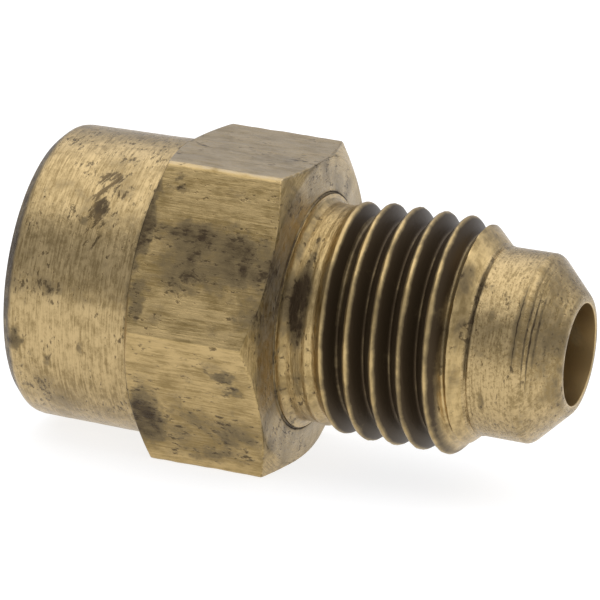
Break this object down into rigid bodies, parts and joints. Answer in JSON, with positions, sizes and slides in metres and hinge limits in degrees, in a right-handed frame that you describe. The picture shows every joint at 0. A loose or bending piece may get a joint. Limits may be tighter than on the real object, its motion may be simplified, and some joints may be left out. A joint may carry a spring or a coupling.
{
  "type": "flare fitting",
  "caption": "Straight brass adapter: 45-degree flare nose with outside straight thread, wrench hex, and round socket with inside pipe port.",
  "frame": {"origin": "centre of the pipe end's face, on the bore axis", "axes": "+X along the bore axis towards the flare nose, +Z square to a wrench flat"},
  "size_m": [0.0259, 0.0166, 0.0142],
  "materials": {
    "turned_brass": "turned, aged",
    "drawn_brass": "drawn, tarnished",
    "thread_brass": "threaded, dark in the grooves"
  },
  "bodies": {
    "root": {"pipe_socket": "turned_brass", "wrench_hex": "drawn_brass", "thread_neck": "turned_brass", "flare_thread": "thread_brass", "nose_pilot": "turned_brass", "flare_seat": "turned_brass"}
  },
  "joints": []
}
